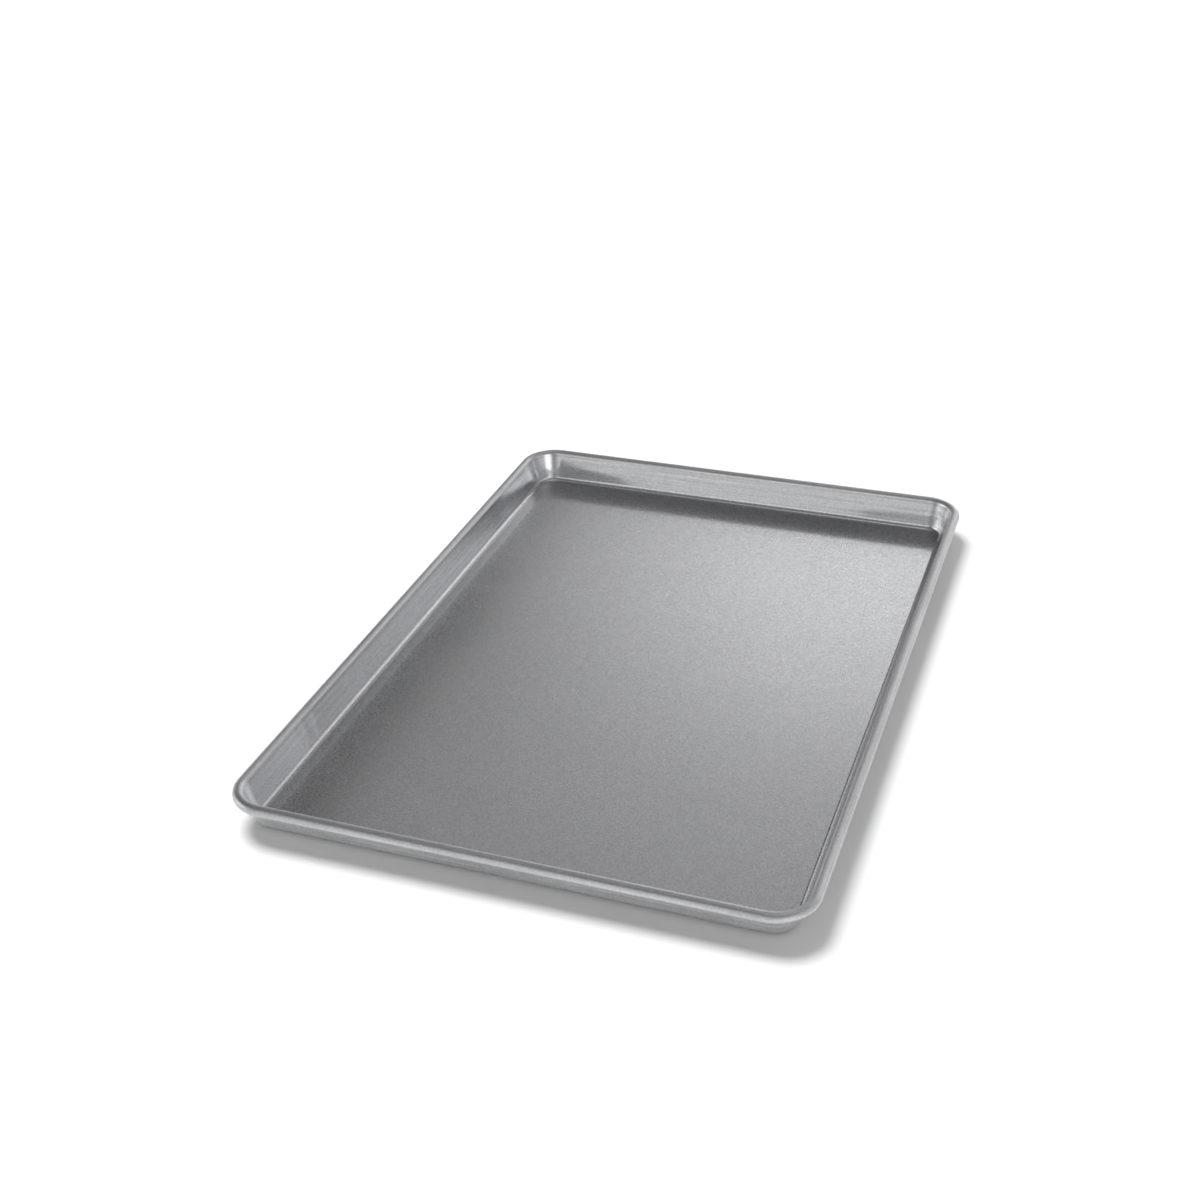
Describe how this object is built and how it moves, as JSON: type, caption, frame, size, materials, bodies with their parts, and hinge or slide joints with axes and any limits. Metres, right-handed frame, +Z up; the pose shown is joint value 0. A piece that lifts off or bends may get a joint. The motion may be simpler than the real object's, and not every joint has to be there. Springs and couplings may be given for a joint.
{
  "type": "jelly roll pan",
  "caption": "Shallow rectangular baking pan of satin steel sheet with leaning walls, rounded corners and a rim curled round a stiffening wire.",
  "frame": {"origin": "middle of the underside, on the surface that the pan stands on", "axes": "+X along the pan's length, +Y across its width, +Z up"},
  "size_m": [0.44, 0.305, 0.0203],
  "materials": {
    "pan_sheet": "satin aluminised coating",
    "rim_wire": "drawn, bare"
  },
  "bodies": {
    "root": {"pan_shell": "pan_sheet", "rim_wire": "rim_wire"}
  },
  "joints": []
}
